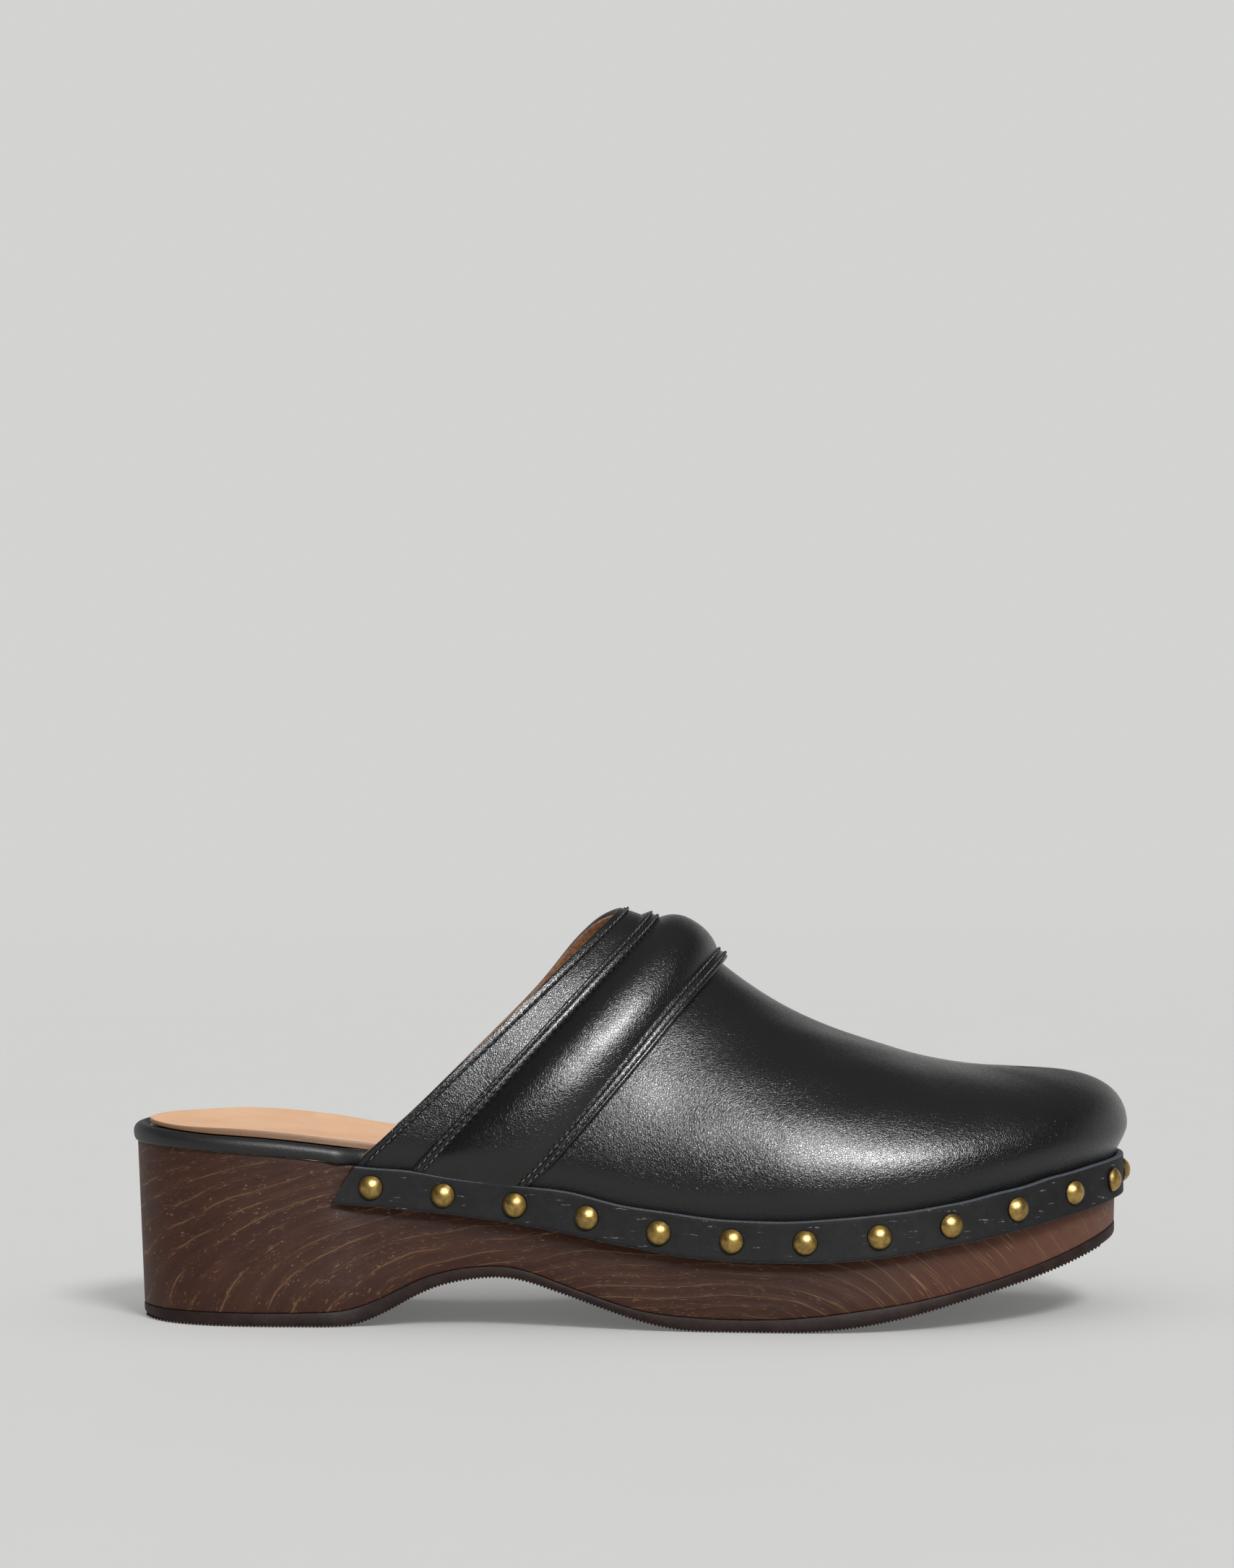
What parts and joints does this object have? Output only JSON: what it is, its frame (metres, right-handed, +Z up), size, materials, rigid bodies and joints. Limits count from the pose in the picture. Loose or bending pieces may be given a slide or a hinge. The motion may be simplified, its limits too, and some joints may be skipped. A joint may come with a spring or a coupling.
{
  "type": "wooden clog",
  "caption": "Wooden-soled clog with a leather vamp, a padded instep strap and an open heel, its upper nailed to the sole through a welt strip.",
  "frame": {"origin": "middle of the underside of the whole clog's box, on the ground the sole rests on", "axes": "+X to the toe, +Y to the inner side of the foot, +Z up"},
  "size_m": [0.2602, 0.0956, 0.1063],
  "materials": {
    "stained_wood": "dark brown stained wood, satin",
    "outsole_rubber": "dark brown ribbed rubber, matt",
    "strip_leather": "matt black leather with raw cut edges",
    "black_leather": "black grained leather, half gloss",
    "sock_leather": "undyed tan leather, smooth",
    "lining_leather": "undyed tan leather, soft",
    "toe_stiffener": "stiffened cloth, hidden between vamp and lining",
    "foam": "open foam, hidden inside its leather",
    "black_thread": "waxed black thread",
    "tack_brass": "antiqued brass, half gloss"
  },
  "bodies": {
    "root": {"wood_sole": "stained_wood", "rubber_outsole": "outsole_rubber", "welt_strip": "strip_leather", "footbed_wrap": "black_leather", "footbed_core": "foam", "sock_lining": "sock_leather", "vamp": "black_leather", "toe_puff": "toe_stiffener", "vamp_lining": "lining_leather", "instep_strap": "black_leather", "strap_padding": "foam", "topline_thread": "black_thread", "strap_rear_threads": "black_thread", "strap_front_threads": "black_thread", "tacks_outer_side": "tack_brass", "tack_toe": "tack_brass", "tacks_inner_side": "tack_brass"}
  },
  "joints": []
}
